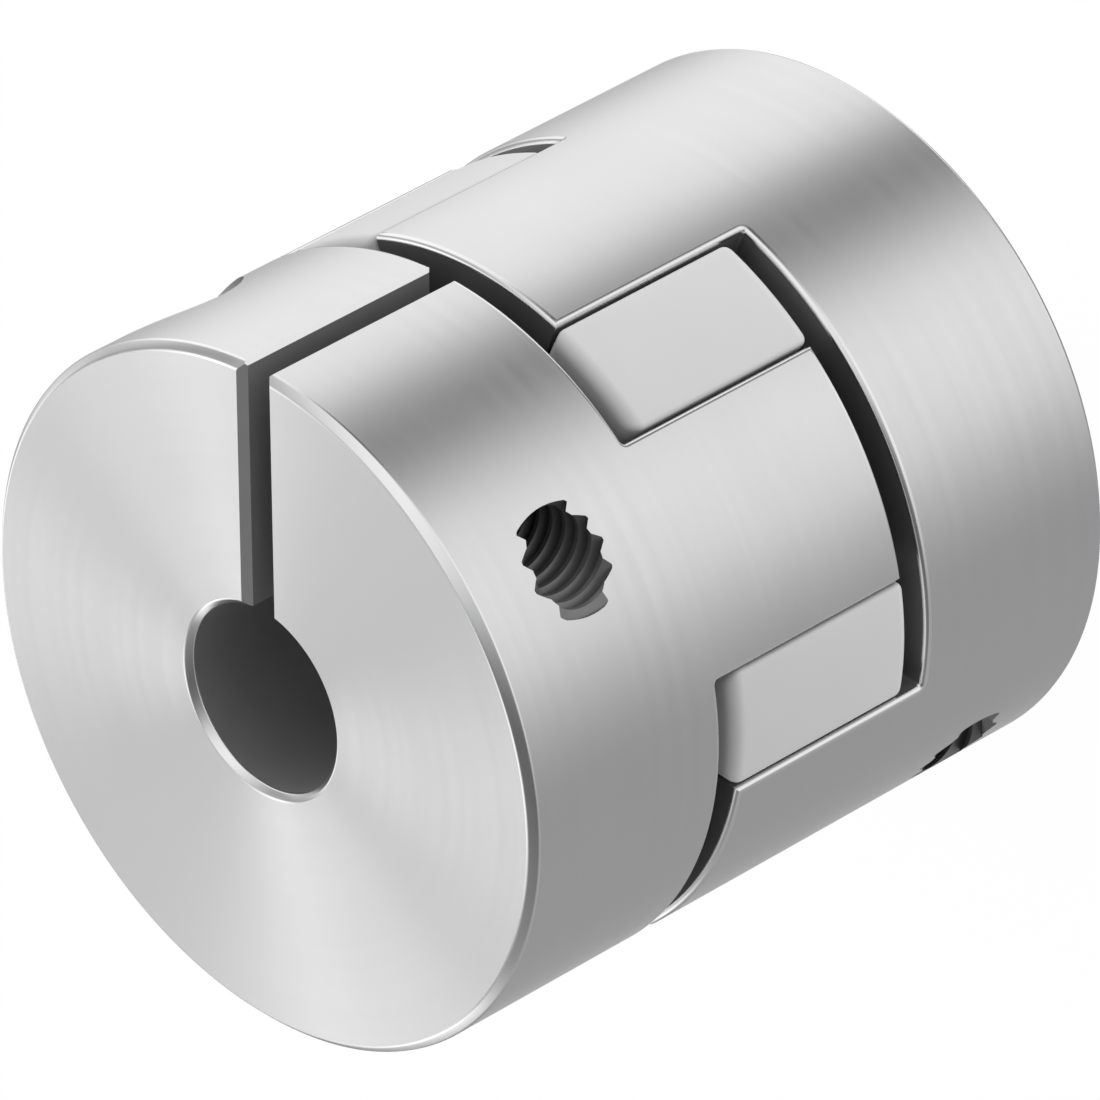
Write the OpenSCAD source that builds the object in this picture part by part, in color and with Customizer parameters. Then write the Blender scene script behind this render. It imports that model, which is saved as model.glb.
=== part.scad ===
// Backlash-free jaw coupling: two clamping hubs with an elastomer spider between their jaws.
// It stands on the rear hub's end face, with the common axis of the two shafts along +Z.
// Both hubs are the same part. The front one is the rear one turned end for end.
// All sizes are in millimetres.

/* [Hubs] */
// Outside diameter of both hubs
outside_d = 30; // [29:0.5:36]
// Diameter of the shaft bore
bore_d = 8; // [5:0.5:9]
// Length of the clamping body that carries the jaws
body_l = 10.25; // [9.5:0.25:16]
// Length of the jaws beyond the body
jaw_l = 10.35; // [8:0.05:14]
// Air between a jaw's tip and the body of the other hub
tip_gap = 1.15; // [0.9:0.05:2]
// Diameter of the circle that the jaws' inner faces lie on
jaw_inner_d = 15; // [14:0.5:17]
// Radius of the hollow in a jaw's flanks
flank_r = 40; // [25:1:80]
// Width of the clamping slot
slot_w = 1.2; // [0.6:0.1:2]

/* [Hub edges] */
// Chamfer round the outside of the end faces
end_chamfer = 0.3; // [0.1:0.05:0.6]
// Chamfer on the edges of the bore and the slot in the end faces
mouth_chamfer = 0.4; // [0.1:0.05:0.8]
// Chamfer on the slot's edges along the outside and at the jaws' side of the body
slot_chamfer = 0.2; // [0.05:0.05:0.4]
// Chamfer on the jaws' outer edges and round the jaws' side of the body
edge_chamfer = 0.25; // [0.05:0.05:0.4]
// Fillet where a jaw's flanks run into the body
root_fillet = 0.4; // [0.1:0.1:0.8]

/* [Spider] */
// Width of a cam along the pitch circle, halfway along the jaws' depth
cam_w = 4.3; // [3.5:0.05:5.5]
// Radius of the crown on a cam's flanks
crown_r = 30; // [18:1:40]
// Clearance between a crowned flank and its hollow where they are closest
flank_clearance = 0.05; // [0.02:0.01:0.2]
// Depth of the cams' outer faces under the hubs' outside
cam_sink = 0.1; // [0.05:0.05:0.5]
// Rounding of the cams' ends
cam_round = 0.4; // [0.1:0.05:0.8]
// Bevel on the cams' long outer edges
cam_bevel = 0.2; // [0.05:0.05:0.4]
// Diameter of the hole through the ring that joins the cams
ring_hole_d = 10.5; // [9:0.5:12]
// Clearance between the ring and the jaws' inner faces
ring_clearance = 0.3; // [0.1:0.05:0.6]
// Depth of the ring's faces under the cams' ends
ring_recess = 0.8; // [0.2:0.1:2]
// Height of the bumps that keep the cams off the hubs
spacer_h = 0.85; // [0.5:0.05:1.5]
// Diameter of those bumps at their foot
spacer_d = 2; // [1:0.1:3]

/* [Clamp screws] */
// Diameter of the screw's thread
thread_d = 4; // [3:0.5:4.5]
// Length of the screw under its head
screw_l = 10; // [8:0.5:12]
// Diameter of the screw's head
head_d = 7; // [6:0.1:7.4]
// Height of the screw's head
head_h = 4; // [3:0.1:4.4]
// Width across the flats of the socket in the head
socket_w = 3; // [2:0.5:4]
// Depth of the socket
socket_depth = 2; // [1:0.1:2.5]
// Chamfer on the screw's tip and the rim of its head
screw_chamfer = 0.35; // [0.1:0.05:0.5]
// Distance of the screw's axis from the hub's end face
screw_from_end = 5.1; // [4.5:0.1:5.4]
// Distance of the head's seat from the middle of the slot
seat_offset = 3.5; // [2.5:0.1:4]
// Least distance of the head's rim from the hub's outside
head_margin = 0.2; // [0:0.05:0.5]
// Radial play of the head in its counterbore
head_play = 0.5; // [0.25:0.05:0.6]
// Radial play of the shank in its clearance hole
shank_play = 0.2; // [0.1:0.05:0.5]
// Radial play of the thread in the tapped hole
thread_play = 0.03; // [0.01:0.01:0.1]

/* [Hidden] */

$fn = 120;

// Three jaws a hub: with an odd number, a hub turned end for end meshes with its twin
jaw_count = 3;
cam_count = 2 * jaw_count;
jaw_pitch = 360 / jaw_count;
cam_pitch = 360 / cam_count;
// Cuts run this far past the surface that they open
cut_margin = 1;

outside_r = outside_d / 2;
bore_r = bore_d / 2;
jaw_inner_r = jaw_inner_d / 2;
tip_z = body_l + jaw_l;
overall_l = tip_z + tip_gap + body_l;

// On the pitch circle the flanks of jaws and cams are radial, and closest to each other
pitch_r = (outside_r + jaw_inner_r) / 2;
pocket_w = cam_w + 2 * flank_clearance;

cam_outer_r = outside_r - cam_sink;
cam_l = overall_l - 2 * (body_l + spacer_h);
ring_outer_r = jaw_inner_r - ring_clearance;
ring_l = cam_l - 2 * ring_recess;

head_r = head_d / 2;
head_top = seat_offset + head_h;
// The head's rim stays inside the hub's outside
screw_offset = sqrt(pow(outside_r - head_margin, 2) - pow(head_top, 2)) - head_r;

// Angle between a cam's middle line and the radius where its flank crosses the pitch circle
function flank_angle(width) = width / 2 / pitch_r * 180 / PI;

// Angle between a cam's middle line and the place where its flank, an arc, meets radius r
function edge_angle(width, arc_r, r) =
    let (d = norm([pitch_r, arc_r]))
    flank_angle(width) - atan2(arc_r, pitch_r) + acos((d * d + r * r - arc_r * arc_r) / (2 * d * r));

// Disc from z = 0 to z = h with both of its outer edges rounded
module rounded_disc(r, h, edge_r) {
    rotate_extrude() {
        square([r - edge_r, h]);
        translate([0, edge_r])
            square([r, h - 2 * edge_r]);
        for (z = [edge_r, h - edge_r])
            translate([r - edge_r, z])
                intersection() {
                    circle(r = edge_r);
                    translate([0, -edge_r])
                        square([edge_r, 2 * edge_r]);
                }
    }
}

// Wedge between two slightly round flanks, along +X: the form of a cam and of its pocket
module wedge(width, arc_r, h, edge_r) {
    intersection_for (side = [-1, 1])
        rotate(side * flank_angle(width))
            translate([pitch_r, -side * arc_r, 0])
                rounded_disc(arc_r, h, edge_r);
}

// Square bar along Z that chamfers a long edge at radius r by the given size
module edge_cutter(r, angle, size, h) {
    rotate(angle)
        translate([r, 0, 0])
            rotate(45)
                translate([-size / sqrt(2), -size / sqrt(2), 0])
                    cube([size * sqrt(2), size * sqrt(2), h]);
}

// Turned blank of a hub, from its end face at z = 0 to the jaws' tips
module hub_blank() {
    rotate_extrude()
        polygon([
            [bore_r + mouth_chamfer, 0],
            [outside_r - end_chamfer, 0],
            [outside_r, end_chamfer],
            [outside_r, tip_z - edge_chamfer],
            [outside_r - edge_chamfer, tip_z],
            [jaw_inner_r, tip_z],
            [jaw_inner_r, body_l],
            [bore_r, body_l],
            [bore_r, mouth_chamfer]
        ]);
}

// Prism over the sector between the middle lines of the two cams in a gap, centred on +X
module gap_sector(z, h) {
    reach = 2 * outside_r;
    translate([0, 0, z])
        linear_extrude(h)
            polygon([
                [0, 0],
                reach * [cos(cam_pitch / 2), -sin(cam_pitch / 2)],
                reach * [cos(cam_pitch / 2), sin(cam_pitch / 2)]
            ]);
}

// Gap between two neighbouring jaws, centred on +X: a pocket for a cam along each of its flanks
module jaw_gap() {
    cut_l = jaw_l + cut_margin;
    corner = edge_angle(pocket_w, flank_r, outside_r);
    difference() {
        union() {
            gap_sector(body_l, cut_l);
            for (side = [-1, 1])
                rotate(side * cam_pitch / 2)
                    translate([0, 0, body_l])
                        wedge(pocket_w, flank_r, cut_l, root_fillet);
        }
        // The cut starts clear of the bore, where the blank is open already
        cylinder(r = (bore_r + jaw_inner_r) / 2, h = overall_l);
    }
    for (side = [-1, 1]) {
        turn = side * (cam_pitch / 2 + corner);
        translate([0, 0, body_l])
            flank_chamfer(turn, side, cut_l);
        // The mitre where the two chamfers meet
        intersection() {
            translate([0, 0, body_l - cut_margin])
                flank_chamfer(turn, side, cut_margin + root_fillet);
            rim_chamfer();
        }
    }
    intersection() {
        rim_chamfer();
        union() {
            gap_sector(0, tip_z);
            for (side = [-1, 1])
                rotate(side * cam_pitch / 2)
                    wedge(pocket_w, flank_r, tip_z, root_fillet);
        }
    }
}

// Bar along Z that cuts the chamfer on a jaw's long outer edge, at one side of a gap
module flank_chamfer(turn, side, h) {
    depth = edge_chamfer / sqrt(2);
    rotate(turn)
        translate([outside_r, 0, 0])
            rotate(-side * 45)
                translate([-depth, -cut_margin, 0])
                    cube([depth + cut_margin, 2 * cut_margin, h]);
}

// Ring that cuts the chamfer on the body's rim and, above it, on the fillets
module rim_chamfer() {
    rotate_extrude()
        polygon([
            [outside_r - edge_chamfer - root_fillet, body_l + root_fillet],
            [outside_r + cut_margin, body_l - edge_chamfer - cut_margin],
            [outside_r + cut_margin, body_l + root_fillet]
        ]);
}

// Radial slot from the bore to the outside, towards -X, with chamfered edges
module clamping_slot() {
    slot_l = outside_r + cut_margin;
    mouth_side = (slot_w / 2 + mouth_chamfer) * sqrt(2);
    edge_side = (slot_w / 2 + slot_chamfer) * sqrt(2);
    translate([-slot_l, -slot_w / 2, -cut_margin])
        cube([slot_l, slot_w, body_l + 2 * cut_margin]);
    // In the end face
    translate([-slot_l, 0, 0])
        rotate([45, 0, 0])
            translate([0, -mouth_side / 2, -mouth_side / 2])
                cube([slot_l, mouth_side, mouth_side]);
    // At the jaws' side of the body
    translate([-slot_l, 0, body_l])
        rotate([45, 0, 0])
            translate([0, -edge_side / 2, -edge_side / 2])
                cube([slot_l, edge_side, edge_side]);
    // Along the outside
    translate([-outside_r, 0, -cut_margin])
        rotate(45)
            translate([-edge_side / 2, -edge_side / 2, 0])
                cube([edge_side, edge_side, body_l + 2 * cut_margin]);
}

// Puts a screw, or its holes, across the slot: made along Z, with the slot's middle at z = 0
module across_slot() {
    translate([-screw_offset, 0, screw_from_end])
        rotate([-90, 0, 0])
            children();
}

// Counterbore, clearance hole and tapped hole for a clamp screw
module screw_holes() {
    reach = outside_r + cut_margin;
    translate([0, 0, seat_offset])
        cylinder(r = head_r + head_play, h = reach);
    cylinder(r = thread_d / 2 + shank_play, h = reach);
    translate([0, 0, -reach])
        cylinder(r = thread_d / 2 + thread_play, h = reach);
}

module clamping_hub() {
    difference() {
        hub_blank();
        for (k = [0 : jaw_count - 1])
            rotate((k + 0.5) * jaw_pitch)
                jaw_gap();
        clamping_slot();
        across_slot()
            screw_holes();
    }
}

// Socket head cap screw along Z, with its seat at z = seat_offset
module cap_screw() {
    socket_r = socket_w / 2 / cos(30);
    shank_r = thread_d / 2;
    tip = seat_offset - screw_l;
    difference() {
        rotate_extrude()
            polygon([
                [0, tip],
                [shank_r - screw_chamfer, tip],
                [shank_r, tip + screw_chamfer],
                [shank_r, seat_offset],
                [head_r, seat_offset],
                [head_r, head_top - screw_chamfer],
                [head_r - screw_chamfer, head_top],
                [0, head_top]
            ]);
        translate([0, 0, head_top - socket_depth])
            cylinder(r = socket_r, h = socket_depth + cut_margin, $fn = 6);
    }
}

// One crowned cam along +X, from inside the ring to the outer face
module cam() {
    corner = edge_angle(cam_w, crown_r, cam_outer_r);
    difference() {
        intersection() {
            wedge(cam_w, crown_r, cam_l, cam_round);
            rounded_disc(cam_outer_r, cam_l, cam_round);
        }
        // The cam starts in the middle of the ring's wall
        translate([0, 0, -cut_margin])
            cylinder(r = (ring_hole_d / 2 + ring_outer_r) / 2, h = cam_l + 2 * cut_margin);
        for (side = [-1, 1])
            translate([0, 0, -cut_margin])
                edge_cutter(cam_outer_r, side * corner, cam_bevel, cam_l + 2 * cut_margin);
    }
}

// Bump on a cam's end, which rests on the body of the hub there
module spacer_bump() {
    translate([pitch_r, 0, 0])
        cylinder(h = spacer_h, d1 = spacer_d, d2 = spacer_d - spacer_h);
}

module ring() {
    difference() {
        cylinder(r = ring_outer_r, h = ring_l);
        translate([0, 0, -cut_margin])
            cylinder(d = ring_hole_d, h = ring_l + 2 * cut_margin);
    }
}

// Turns a hub, or what is in it, end for end
module turned_over() {
    translate([0, 0, overall_l])
        rotate([0, 180, 0])
            children();
}

module rear_hub() {
    color("silver")
        clamping_hub();
}

module front_hub() {
    color("silver")
        turned_over()
            clamping_hub();
}

module spider() {
    color("gainsboro")
        translate([0, 0, body_l + spacer_h]) {
            translate([0, 0, ring_recess])
                ring();
            for (k = [0 : cam_count - 1])
                rotate((k + 0.5) * cam_pitch) {
                    cam();
                    // Every second cam has its bump at the front, and the others at the rear
                    if (k % 2 == 0)
                        translate([0, 0, cam_l])
                            spacer_bump();
                    else
                        mirror([0, 0, 1])
                            spacer_bump();
                }
        }
}

module rear_clamp_screw() {
    color("dimgray")
        across_slot()
            cap_screw();
}

module front_clamp_screw() {
    color("dimgray")
        turned_over()
            across_slot()
                cap_screw();
}

rear_hub();
spider();
front_hub();
rear_clamp_screw();
front_clamp_screw();
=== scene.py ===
"""Shaft coupling: two bright turned clamping hubs that mesh through a light grey elastomer spider.

The coupling's classes hold their sizes in millimetres, which become metres when a piece is finished. The
finishes and the studio are in metres. The common shaft axis is +Z, with the rear hub's end face on z = 0.
"""

import logging
import math
from dataclasses import dataclass, field
from enum import Enum
from typing import Optional, Sequence

import bmesh
import bpy
import numpy as np
from bmesh.types import BMesh, BMFace, BMVert
from bpy.types import Material, Node, NodeSocket, NodeTree, Object
from mathutils import Matrix, Vector


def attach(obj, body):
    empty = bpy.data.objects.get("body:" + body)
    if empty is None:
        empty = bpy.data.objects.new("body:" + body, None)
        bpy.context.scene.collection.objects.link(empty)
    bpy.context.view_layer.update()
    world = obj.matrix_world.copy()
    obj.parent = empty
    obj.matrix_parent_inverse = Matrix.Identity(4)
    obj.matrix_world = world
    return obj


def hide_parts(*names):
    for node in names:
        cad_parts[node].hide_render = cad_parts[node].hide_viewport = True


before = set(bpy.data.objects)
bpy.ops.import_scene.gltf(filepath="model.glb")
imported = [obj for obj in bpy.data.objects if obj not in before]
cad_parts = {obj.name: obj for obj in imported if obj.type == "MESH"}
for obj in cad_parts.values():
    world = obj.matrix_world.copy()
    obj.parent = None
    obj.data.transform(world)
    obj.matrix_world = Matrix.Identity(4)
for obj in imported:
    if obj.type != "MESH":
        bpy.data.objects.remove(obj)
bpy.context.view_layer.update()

LOG = logging.getLogger("coupling")
Triple = tuple[float, float, float]
MM = 0.001
SMOOTH_ANGLE = math.radians(28)
SOFT_ANGLE = math.radians(40)
# Rows across an eased chamfer, as shares of its size
EASED = (0.82, 0.70, 0.16, 0.06, 0.0)
WELD = 1e-4
# How far a cutter reaches past what it cuts
MARGIN = 1.0
BODY = "root"


class Turn(Enum):
    """Way a hub stands in the coupling."""

    AS_MADE = "rear"
    END_FOR_END = "front"


class Slot(Enum):
    """Names of the pieces' material slots."""

    HUB = "hub"
    SPIDER = "spider"
    SCREW = "screw"


def polar(angle: float, radius: float, z: float) -> Vector:
    """Point at an angle from +X in degrees, a distance from the Z axis and a height."""
    turn = math.radians(angle)
    return Vector((radius * math.cos(turn), radius * math.sin(turn), z))


def across(length: float, radius: float) -> float:
    """Angle in degrees that a length along a circle covers."""
    return math.degrees(length / radius)


def quarter_round(radius: float, steps: int = 5) -> list[tuple[float, float]]:
    """Rows of a rounded edge after its first: how far each lies from the one face and inside the other."""
    turns = [math.pi / 2 * k / steps for k in range(1, steps + 1)]
    return [(radius * (1 - math.sin(turn)), radius * (1 - math.cos(turn))) for turn in turns]


def eased_chamfer(size: float) -> list[tuple[float, float]]:
    """Rows of a chamfer with eased ends, after its first, measured like those of a rounded edge."""
    return [(size * share, size * other) for share, other in zip(EASED, reversed((1.0,) + EASED[:-1]))]


class Skin:
    """A surface that grows by extruding rows of vertices and setting each new vertex in its place."""

    def __init__(self) -> None:
        """Starts with an empty mesh."""
        self.bm: BMesh = bmesh.new()

    def ring(self, places: Sequence[Vector]) -> list[BMVert]:
        """Makes a closed ring of edges.

        Args:
            places: Where each vertex goes, in order.

        Returns:
            The ring's vertices.
        """
        made = bmesh.ops.create_circle(self.bm, segments=len(places), radius=1.0)["verts"]
        for vert, place in zip(made, places):
            vert.co = place
        return list(made)

    def grow(self, row: Sequence[BMVert], places: Sequence[Vector], closed: bool = True) -> list[BMVert]:
        """Extrudes a row of vertices to new places.

        Args:
            row: Vertices joined by edges, in order.
            places: Where each new vertex goes.
            closed: Whether the last vertex is joined to the first.

        Returns:
            The new row.
        """
        ends = zip(row, list(row[1:]) + ([row[0]] if closed else []))
        edges = [self.bm.edges.get(pair) for pair in ends]
        made = bmesh.ops.extrude_edge_only(self.bm, edges=edges)["geom"]
        fresh = {item for item in made if isinstance(item, BMVert)}
        new_row = []
        for vert, place in zip(row, places):
            partner = next(e.other_vert(vert) for e in vert.link_edges if e.other_vert(vert) in fresh)
            partner.co = place
            new_row.append(partner)
        return new_row

    def weld(self, pairs: Sequence[tuple[BMVert, BMVert]]) -> None:
        """Merges the first vertex of each pair into the second, which lies in the same place."""
        bmesh.ops.weld_verts(self.bm, targetmap=dict(pairs))

    def cap(self, row: Sequence[BMVert]) -> BMFace:
        """Closes a ring with one face and returns it."""
        return bmesh.ops.contextual_create(self.bm, geom=list(row))["faces"][0]

    def solid(self, name: str, place: Optional[Matrix] = None) -> Object:
        """Finishes the surface as an object with its normals outwards, in millimetres.

        Args:
            name: The object's name.
            place: Where the piece goes.

        Returns:
            The object.
        """
        bmesh.ops.dissolve_degenerate(self.bm, dist=WELD, edges=self.bm.edges)
        if place is not None:
            bmesh.ops.transform(self.bm, matrix=place, verts=self.bm.verts)
        bmesh.ops.recalc_face_normals(self.bm, faces=self.bm.faces)
        mesh = bpy.data.meshes.new(name)
        self.bm.to_mesh(mesh)
        self.bm.free()
        thing = bpy.data.objects.new(name, mesh)
        bpy.context.scene.collection.objects.link(thing)
        return thing


class Machining(Enum):
    """What a cutter or an added piece does to a blank."""

    CUT = "DIFFERENCE"
    JOIN = "UNION"


def machine(blank: Object, tool: Object, way: Machining = Machining.CUT) -> Object:
    """Cuts one solid out of another, or joins the two, and removes the tool.

    Args:
        blank: The solid that is worked on.
        tool: The cutter, or the solid that is added.
        way: What the tool does.

    Returns:
        The blank with its new mesh.
    """
    step = blank.modifiers.new("machining", "BOOLEAN")
    step.operation = way.value
    step.solver = "EXACT"
    step.object = tool
    worked = bpy.data.meshes.new_from_object(blank.evaluated_get(bpy.context.evaluated_depsgraph_get()))
    blank.modifiers.clear()
    spent = [blank.data, tool.data]
    blank.data = worked
    bpy.data.objects.remove(tool)
    for mesh in spent:
        bpy.data.meshes.remove(mesh)
    return blank


def block(low: Sequence[float], high: Sequence[float], turn: Optional[Matrix] = None) -> Object:
    """Rectangular cutter between two corners, turned afterwards.

    Args:
        low: Lowest corner.
        high: Highest corner.
        turn: Matrix that is applied at the end.

    Returns:
        The cutter.
    """
    skin = Skin()
    bmesh.ops.create_cube(skin.bm, size=1.0)
    size = Vector(high) - Vector(low)
    middle = (Vector(high) + Vector(low)) / 2
    fit = Matrix.Translation(middle) @ Matrix.Diagonal((*size, 1.0))
    return skin.solid("cutter", (turn or Matrix()) @ fit)


def drill(radius: float, low: float, high: float, place: Matrix, segments: int = 96) -> Object:
    """Round cutter along Z.

    Args:
        radius: The hole's radius.
        low: Where it starts.
        high: Where it ends.
        place: Where the hole goes.
        segments: Sides of the circle.

    Returns:
        The cutter.
    """
    skin = Skin()
    bmesh.ops.create_cone(
        skin.bm, cap_ends=True, segments=segments, radius1=radius, radius2=radius, depth=high - low,
        matrix=Matrix.Translation((0, 0, (high + low) / 2)),
    )
    return skin.solid("cutter", place)


@dataclass
class FlankArc:
    """Round flank of a wedge along +X, which is radial where it crosses the pitch circle."""

    width: float
    arc_r: float
    pitch_r: float = 11.25

    def centre(self) -> Vector:
        """Centre of the arc of the flank on the +Y side.

        Returns:
            The centre, at z = 0.
        """
        half = self.width / 2 / self.pitch_r
        distance = math.hypot(self.pitch_r, self.arc_r)
        angle = half - math.atan2(self.arc_r, self.pitch_r)
        return Vector((distance * math.cos(angle), distance * math.sin(angle), 0))

    def angle_at(self, radius: float, inset: float = 0.0) -> float:
        """Angle from the wedge's middle line to its flank.

        Args:
            radius: Distance from the Z axis.
            inset: How far the flank is moved inwards.

        Returns:
            The angle in degrees.
        """
        centre = self.centre()
        distance = centre.length
        reach = self.arc_r - inset
        cosine = (distance**2 + radius**2 - reach**2) / (2 * distance * radius)
        return math.degrees(math.atan2(centre.y, centre.x) + math.acos(cosine))


@dataclass
class Thread:
    """Metric thread along Z."""

    pitch: float = 0.7
    crest_r: float = 1.95
    root_r: float = 1.6
    root_share: float = 0.125
    crest_share: float = 0.4375
    steps: int = 64

    def rod(self, low: float, high: float, tip_r: float, end_r: float) -> Skin:
        """Threaded rod: one row of thread profiles is spun along a helix, then its ends are cut square.

        Args:
            low: Where the rod starts.
            high: Where it ends.
            tip_r: Radius of the flat end at the bottom.
            end_r: Radius of the flat end at the top.

        Returns:
            The closed surface.
        """
        skin = Skin()
        rise = ((self.root_share, self.root_r), (self.crest_share, self.crest_r))
        corners = rise + tuple((1 - share, radius) for share, radius in reversed(rise))
        first = math.floor(low / self.pitch) - 2
        last = math.ceil(high / self.pitch) + 1
        places = [
            Vector((radius, 0, (turn + share) * self.pitch))
            for turn in range(first, last)
            for share, radius in corners
        ]
        verts = [bmesh.ops.create_vert(skin.bm, co=place)["vert"][0] for place in places]
        edges = [skin.bm.edges.new(pair) for pair in zip(verts, verts[1:])]
        bmesh.ops.spin(
            skin.bm, geom=verts + edges, cent=(0, 0, 0), axis=(0, 0, 1), angle=math.tau, steps=self.steps,
            dvec=(0, 0, self.pitch / self.steps), use_merge=False,
        )
        for vert in skin.bm.verts:
            for limit, radius, beyond in ((low, tip_r, vert.co.z < low), (high, end_r, vert.co.z > high)):
                if beyond:
                    vert.co.xy = vert.co.xy.normalized() * radius
                    vert.co.z = limit
        bmesh.ops.remove_doubles(skin.bm, verts=skin.bm.verts, dist=WELD)
        open_edges = [edge for edge in skin.bm.edges if edge.is_boundary]
        bmesh.ops.holes_fill(skin.bm, edges=open_edges, sides=0)
        return skin


@dataclass
class ClampScrew:
    """Socket head cap screw across the slot of a hub, along Z with the slot's middle at z = 0."""

    shank_r: float = 1.95
    length: float = 10.0
    head_r: float = 3.5
    head_h: float = 4.0
    seat: float = 3.5
    socket_w: float = 3.0
    socket_depth: float = 2.0
    chamfer: float = 0.35
    foot_chamfer: float = 0.25
    foot_h: float = 0.15
    plain_h: float = 0.35
    knurl: float = 0.09
    knurl_run: float = 0.15
    ridges: int = 40
    lip_h: float = 0.04
    lip_w: float = 0.1
    countersink: float = 0.12
    into_head: float = 0.6
    offset: float = 9.2594
    from_end: float = 5.1
    counterbore_r: float = 4.0
    clearance_r: float = 2.2
    thread: Thread = field(default_factory=Thread)
    tapping: Thread = field(default_factory=lambda: Thread(crest_r=2.02, root_r=1.66))

    def place(self) -> Matrix:
        """Where the screw goes in the rear hub."""
        across_slot = Matrix.Rotation(math.radians(-90), 4, "X")
        return Matrix.Translation((-self.offset, 0, self.from_end)) @ across_slot

    def build(self, name: str, turned: Matrix) -> Object:
        """Makes the screw: knurled head, socket and thread.

        Args:
            name: The piece's name.
            turned: Puts what is in the rear hub where it is in the wanted hub.

        Returns:
            The piece, in millimetres.
        """
        top = self.seat + self.head_h
        place = turned @ self.place()
        skin = Skin()
        count = 2 * self.ridges
        knurled = [self.head_r - (self.knurl if k % 2 else 0) for k in range(count)]

        def row(radii: Sequence[float], z: float) -> list[Vector]:
            """Ring of places with a radius for each."""
            return [polar(k * 360 / count, r, z) for k, r in enumerate(radii)]

        plain = [self.head_r - self.knurl] * count
        lip = [self.head_r - self.chamfer] * count
        knurl_low = self.seat + self.plain_h
        knurl_high = top - self.chamfer
        ring = skin.ring(row([self.head_r - self.foot_chamfer] * count, self.seat))
        skin.cap(ring)
        for radii, z in (
            (plain, self.seat + self.foot_h), (plain, knurl_low), (knurled, knurl_low + self.knurl_run),
            (knurled, knurl_high - self.knurl_run), (plain, knurl_high), (lip, top - self.lip_h),
        ):
            ring = skin.grow(ring, row(radii, z))
        ring = skin.grow(ring, row([self.head_r - self.chamfer - self.lip_w] * count, top))
        skin.cap(ring)
        head = skin.solid(name, place)
        corner_r = self.socket_w / 2 / math.cos(math.radians(30))
        machine(head, drill(corner_r, top - self.socket_depth, top + MARGIN, place, segments=6))
        machine(head, self._cone(top, corner_r + self.countersink, place))
        low, high = self.seat - self.length, self.seat + self.into_head
        rod = self.thread.rod(low, high, self.shank_r - self.chamfer, self.thread.root_r)
        shank = rod.solid("shank", place)
        return machine(head, shank, Machining.JOIN)

    @staticmethod
    def _cone(top: float, mouth_r: float, place: Matrix) -> Object:
        """Countersink of 45 degrees at the socket's mouth.

        Args:
            top: Height of the head's top.
            mouth_r: The countersink's radius there.
            place: Where the screw goes.

        Returns:
            The cutter.
        """
        skin = Skin()
        above, below = 0.15, 0.45
        bmesh.ops.create_cone(
            skin.bm, cap_ends=True, segments=64, radius1=mouth_r - below, radius2=mouth_r + above,
            depth=above + below, matrix=Matrix.Translation((0, 0, top + (above - below) / 2)),
        )
        return skin.solid("cutter", place)

    def cutters(self) -> list[Object]:
        """Counterbore, clearance hole and tapped hole for the screw, in the rear hub.

        Returns:
            The cutters.
        """
        reach = 16.0
        past_slot_middle = 0.3
        tap = self.tapping.rod(-reach, past_slot_middle, self.tapping.root_r, self.tapping.root_r)
        return [
            drill(self.counterbore_r, self.seat, reach, self.place(), segments=144),
            drill(self.clearance_r, 0.0, reach, self.place()),
            tap.solid("cutter", self.place()),
        ]


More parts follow.
